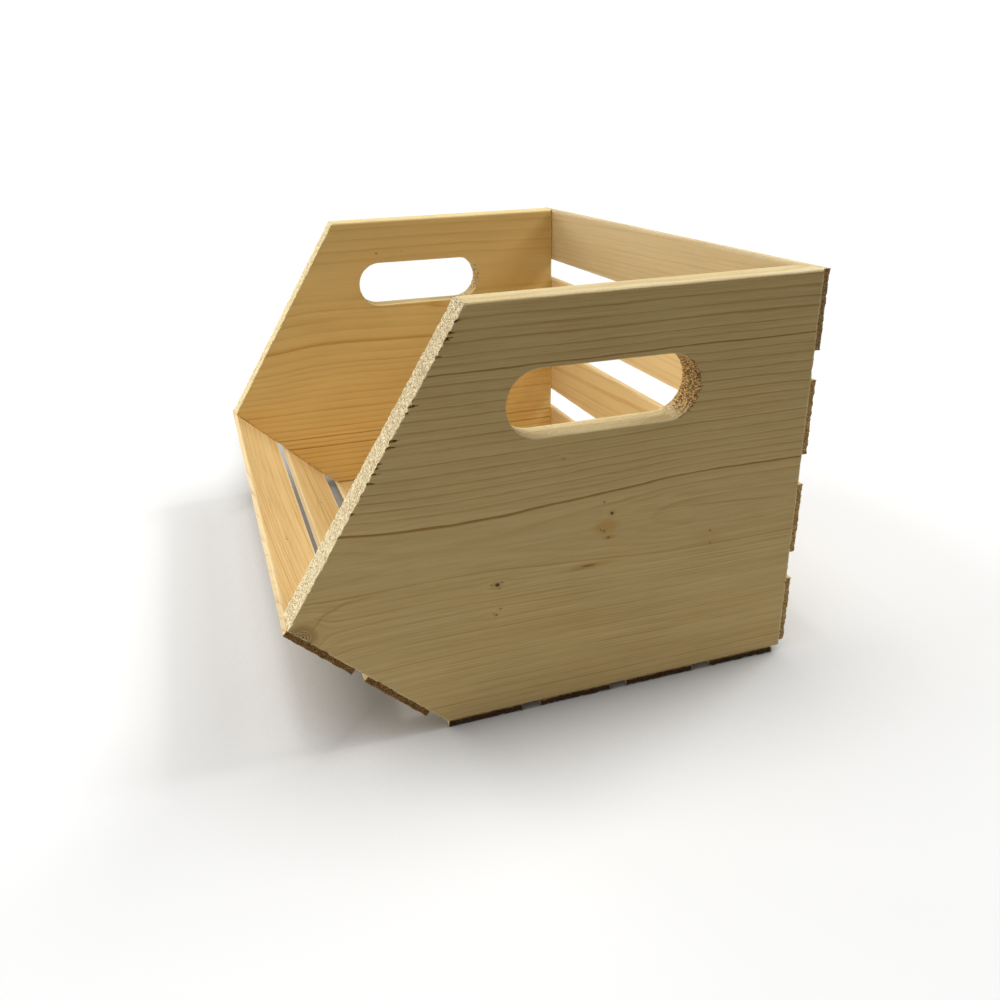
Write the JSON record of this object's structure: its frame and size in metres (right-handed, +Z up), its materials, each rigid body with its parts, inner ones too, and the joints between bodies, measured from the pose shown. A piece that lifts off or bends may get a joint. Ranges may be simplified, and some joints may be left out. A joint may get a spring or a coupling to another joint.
{
  "type": "wooden apple crate",
  "caption": "Open-topped softwood crate with an angled scoop front, slatted back, floor and lip, and hand holes in its side panels, for carrying and displaying apples.",
  "frame": {"origin": "middle of the crate's footprint box, on the ground plane under the floor slats", "axes": "+Z up, the open angled front faces -Y, the slatted back faces +Y, and the side panels stand at +X and -X"},
  "size_m": [0.4, 0.305, 0.2386],
  "materials": {
    "panel_pine": "bare planed pine, matt, with rough saw-cut ends",
    "slat_pine": "bare sawn pine lath, matt, with rough ends",
    "nail_steel": "plain bright steel wire nail with a flat head"
  },
  "bodies": {
    "root": {"side_panel_left": "panel_pine", "side_panel_right": "panel_pine", "back_slat_1": "slat_pine", "back_slat_2": "slat_pine", "back_slat_3": "slat_pine", "back_slat_4": "slat_pine", "floor_slat_1": "slat_pine", "floor_slat_2": "slat_pine", "floor_slat_3": "slat_pine", "floor_slat_4": "slat_pine", "front_slat_1": "slat_pine", "front_slat_2": "slat_pine", "back_slat_1_nails": "nail_steel", "back_slat_2_nails": "nail_steel", "back_slat_3_nails": "nail_steel", "back_slat_4_nails": "nail_steel", "floor_slat_1_nails": "nail_steel", "floor_slat_2_nails": "nail_steel", "floor_slat_3_nails": "nail_steel", "floor_slat_4_nails": "nail_steel", "front_slat_1_nails": "nail_steel", "front_slat_2_nails": "nail_steel"}
  },
  "joints": []
}
